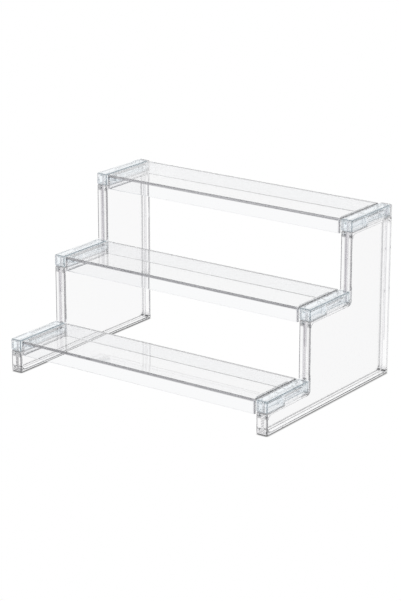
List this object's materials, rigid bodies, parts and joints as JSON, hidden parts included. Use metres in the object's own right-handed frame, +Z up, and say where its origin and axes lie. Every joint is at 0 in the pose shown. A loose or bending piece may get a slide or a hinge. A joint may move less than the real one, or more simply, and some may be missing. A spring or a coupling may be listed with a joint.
{
  "type": "display riser",
  "caption": "Clear stepped display riser: stepped side panels carry tray-shaped shelves with end clips that lift off for cleaning.",
  "frame": {"origin": "middle of the footprint, on the surface the riser stands on", "axes": "+X to the right along the shelves, +Y to the back, +Z up; the low step faces -Y"},
  "size_m": [0.3, 0.2092, 0.1701],
  "materials": {
    "panel_plastic": "clear, colourless moulded plastic, polished",
    "shelf_plastic": "clear, colourless moulded plastic, polished",
    "clip_plastic": "clear moulded plastic with a trace of blue, polished"
  },
  "bodies": {
    "side_panels": {"left_side_panel": "panel_plastic", "right_side_panel": "panel_plastic"},
    "bottom_shelf": {"bottom_shelf": "shelf_plastic", "bottom_left_clip": "clip_plastic", "bottom_right_clip": "clip_plastic"},
    "middle_shelf": {"middle_shelf": "shelf_plastic", "middle_left_clip": "clip_plastic", "middle_right_clip": "clip_plastic"},
    "top_shelf": {"top_shelf": "shelf_plastic", "top_left_clip": "clip_plastic", "top_right_clip": "clip_plastic"}
  },
  "joints": [
    {"name": "bottom_shelf_lift", "type": "slide", "parent": "side_panels", "child": "bottom_shelf", "axis": [0, 0, 1], "range_m": [0, 0.04]},
    {"name": "middle_shelf_lift", "type": "slide", "parent": "side_panels", "child": "middle_shelf", "axis": [0, 0, 1], "range_m": [0, 0.04]},
    {"name": "top_shelf_lift", "type": "slide", "parent": "side_panels", "child": "top_shelf", "axis": [0, 0, 1], "range_m": [0, 0.04]}
  ]
}
